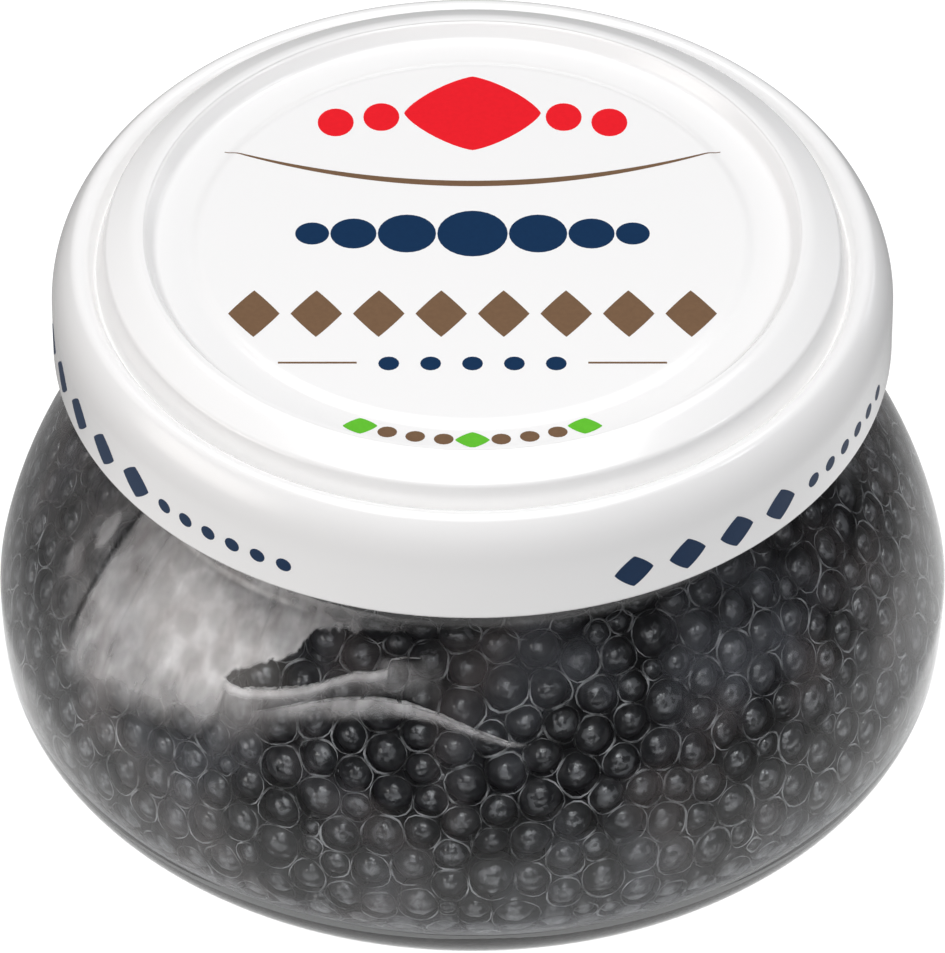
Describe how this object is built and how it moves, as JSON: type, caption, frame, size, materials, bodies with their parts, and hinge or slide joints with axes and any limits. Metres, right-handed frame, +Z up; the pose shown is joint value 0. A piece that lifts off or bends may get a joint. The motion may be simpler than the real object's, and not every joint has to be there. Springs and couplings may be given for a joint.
{
  "type": "jar of imitation sturgeon caviar",
  "caption": "Shut squat round glass jar full of small glossy black roe beads, with a white enamelled twist-off metal lid; stands on its flat foot ring.",
  "frame": {"origin": "on the jar's axis, at the level of the surface that it stands on", "axes": "+Z up along the axis of the jar, from the foot to the lid; the side of the print that the picture shows faces -Y"},
  "size_m": [0.0798, 0.0798, 0.0472],
  "materials": {
    "glass": "clear thick jar glass, polished",
    "roe": null,
    "enamel": "glossy white enamel on pressed steel, with a plain navy, brown, red and green print"
  },
  "bodies": {
    "root": {"jar": "glass", "caviar": "roe", "lid": "enamel"}
  },
  "joints": []
}
